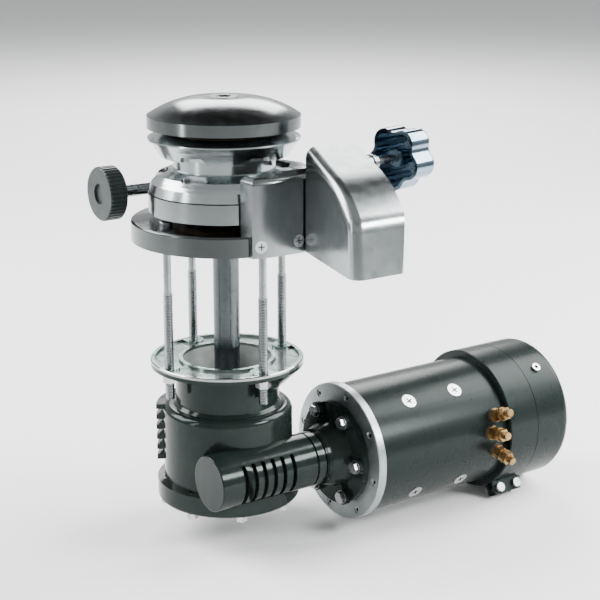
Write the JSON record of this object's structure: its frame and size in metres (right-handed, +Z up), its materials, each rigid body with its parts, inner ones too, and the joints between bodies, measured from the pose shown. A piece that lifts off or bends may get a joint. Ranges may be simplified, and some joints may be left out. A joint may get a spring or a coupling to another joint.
{
  "type": "anchor windlass",
  "caption": "Vertical anchor windlass with chain gypsy, band brake, clutch cap, chain hood, through-deck studs, worm gearbox and side-mounted electric motor.",
  "frame": {"origin": "centre of the deck base's underside, on the main shaft axis and in the deck face", "axes": "+Z up along the main shaft, +X towards the chain hood, +Y along the worm and motor axis towards the motor's rear"},
  "size_m": [0.316, 0.4286, 0.4283],
  "materials": {
    "polished_alloy": "polished marine alloy, mirror bands over a soft grain",
    "satin_aluminium": "turned satin",
    "stainless": "drawn stainless bar",
    "chrome": "bright chrome plate",
    "screw_steel": "zinc plated steel",
    "knob_black": "knurled black",
    "gearbox_paint": "gloss black-green enamel on a casting",
    "motor_paint": "semi-gloss dark grey-green enamel",
    "machined_steel": "ground bearing steel",
    "bronze": "machined bronze",
    "brass": "plain turned brass, a little tarnished",
    "lining": "moulded friction lining",
    "rubber": "moulded rubber seal",
    "copper": "hard copper segments",
    "carbon": "pressed carbon",
    "laminated_steel": "laminated iron",
    "insulator": "moulded phenolic"
  },
  "bodies": {
    "frame": {"deck_base": "polished_alloy", "shaft_bearings": "machined_steel", "shaft_seals": "rubber", "brake_band": "polished_alloy", "brake_lining": "lining", "brake_lugs": "polished_alloy", "brake_anchor": "polished_alloy", "chain_block": "polished_alloy", "block_screws": "screw_steel", "chain_stripper": "polished_alloy", "hood_bracket": "stainless", "deck_studs": "stainless", "stud_nuts": "screw_steel", "stud_washers": "screw_steel", "gearbox_neck": "gearbox_paint", "gear_housing": "gearbox_paint", "bottom_cover": "gearbox_paint", "cover_bolts": "screw_steel", "worm_end_cap": "gearbox_paint", "worm_bearings": "machined_steel", "motor_adapter": "gearbox_paint", "adapter_bolts": "screw_steel", "motor_ring": "satin_aluminium", "ring_screws": "screw_steel", "motor_tube": "motor_paint", "pole_shoes": "laminated_steel", "pole_screws": "screw_steel", "brush_plate": "insulator", "brushes": "carbon", "terminal_studs": "brass", "terminal_nuts": "brass", "terminal_insulators": "insulator", "cover_band": "motor_paint", "clamp_screws": "screw_steel", "end_bell": "motor_paint", "bell_screws": "screw_steel", "rear_bearing": "machined_steel"},
    "motor_rotor": {"worm_shaft": "machined_steel", "armature_shaft": "machined_steel", "armature": "laminated_steel", "commutator": "copper"},
    "shaft_group": {"main_shaft": "stainless", "shaft_keys": "machined_steel", "clutch_cone_lower": "bronze", "worm_wheel": "bronze"},
    "gypsy": {"gypsy_lower": "polished_alloy", "gypsy_neck": "polished_alloy", "gypsy_upper": "polished_alloy", "gypsy_screws": "screw_steel"},
    "upper_cone": {"clutch_cone_upper": "bronze"},
    "cap": {"clutch_cap": "polished_alloy", "cap_socket": "stainless"},
    "brake_washer": {"brake_collar": "stainless"},
    "brake_handle": {"brake_screw": "stainless", "brake_knob": "knob_black"},
    "hood": {"chain_hood": "polished_alloy", "hood_hinge_pins": "stainless"},
    "clamp_washer": {"star_knob_washer": "stainless"},
    "clamp_knob": {"star_knob": "chrome", "star_knob_spindle": "stainless"}
  },
  "joints": [
    {"name": "motor_spin", "type": "hinge", "parent": "frame", "child": "motor_rotor", "pos_m": [0.05816, 0, -0.2191], "axis": [0, 1, 0], "continuous": true},
    {"name": "main_shaft_spin", "type": "hinge", "parent": "frame", "child": "shaft_group", "pos_m": [0, 0, 0], "axis": [0, 0, 1], "continuous": true},
    {"name": "gypsy_spin", "type": "hinge", "parent": "shaft_group", "child": "gypsy", "pos_m": [0, 0, 0.05], "axis": [0, 0, 1], "continuous": true},
    {"name": "clutch_lift", "type": "slide", "parent": "shaft_group", "child": "upper_cone", "axis": [0, 0, 1], "range_m": [0, 0.003]},
    {"name": "clutch_cap_turn", "type": "hinge", "parent": "upper_cone", "child": "cap", "pos_m": [0, 0, 0.115], "axis": [0, 0, 1], "range_deg": [0, 540]},
    {"name": "brake_rod_slide", "type": "slide", "parent": "frame", "child": "brake_washer", "axis": [0, 1, 0], "range_m": [-0.0045, 0]},
    {"name": "brake_knob_turn", "type": "hinge", "parent": "brake_washer", "child": "brake_handle", "pos_m": [-0.082, 0, 0.037], "axis": [0, 1, 0], "range_deg": [-1080, 0]},
    {"name": "hood_hinge", "type": "hinge", "parent": "frame", "child": "hood", "pos_m": [0.108, 0.05, 0.08], "axis": [0, -1, 0], "range_deg": [0, 65]},
    {"name": "clamp_screw_slide", "type": "slide", "parent": "hood", "child": "clamp_washer", "axis": [-0.2079, 0.9781, 0], "range_m": [0, 0.00375]},
    {"name": "star_knob_turn", "type": "hinge", "parent": "clamp_washer", "child": "clamp_knob", "pos_m": [0.114, 0.11, 0.08], "axis": [-0.2079, 0.9781, 0], "range_deg": [0, 1080]}
  ],
  "couplings": [
    {"joint": "main_shaft_spin", "follows": "motor_spin", "ratio": 0.020833},
    {"joint": "clutch_lift", "follows": "clutch_cap_turn", "m_per_rad": 0.00031831},
    {"joint": "brake_rod_slide", "follows": "brake_knob_turn", "m_per_rad": 0.00023873},
    {"joint": "clamp_screw_slide", "follows": "star_knob_turn", "m_per_rad": 0.00019894}
  ]
}
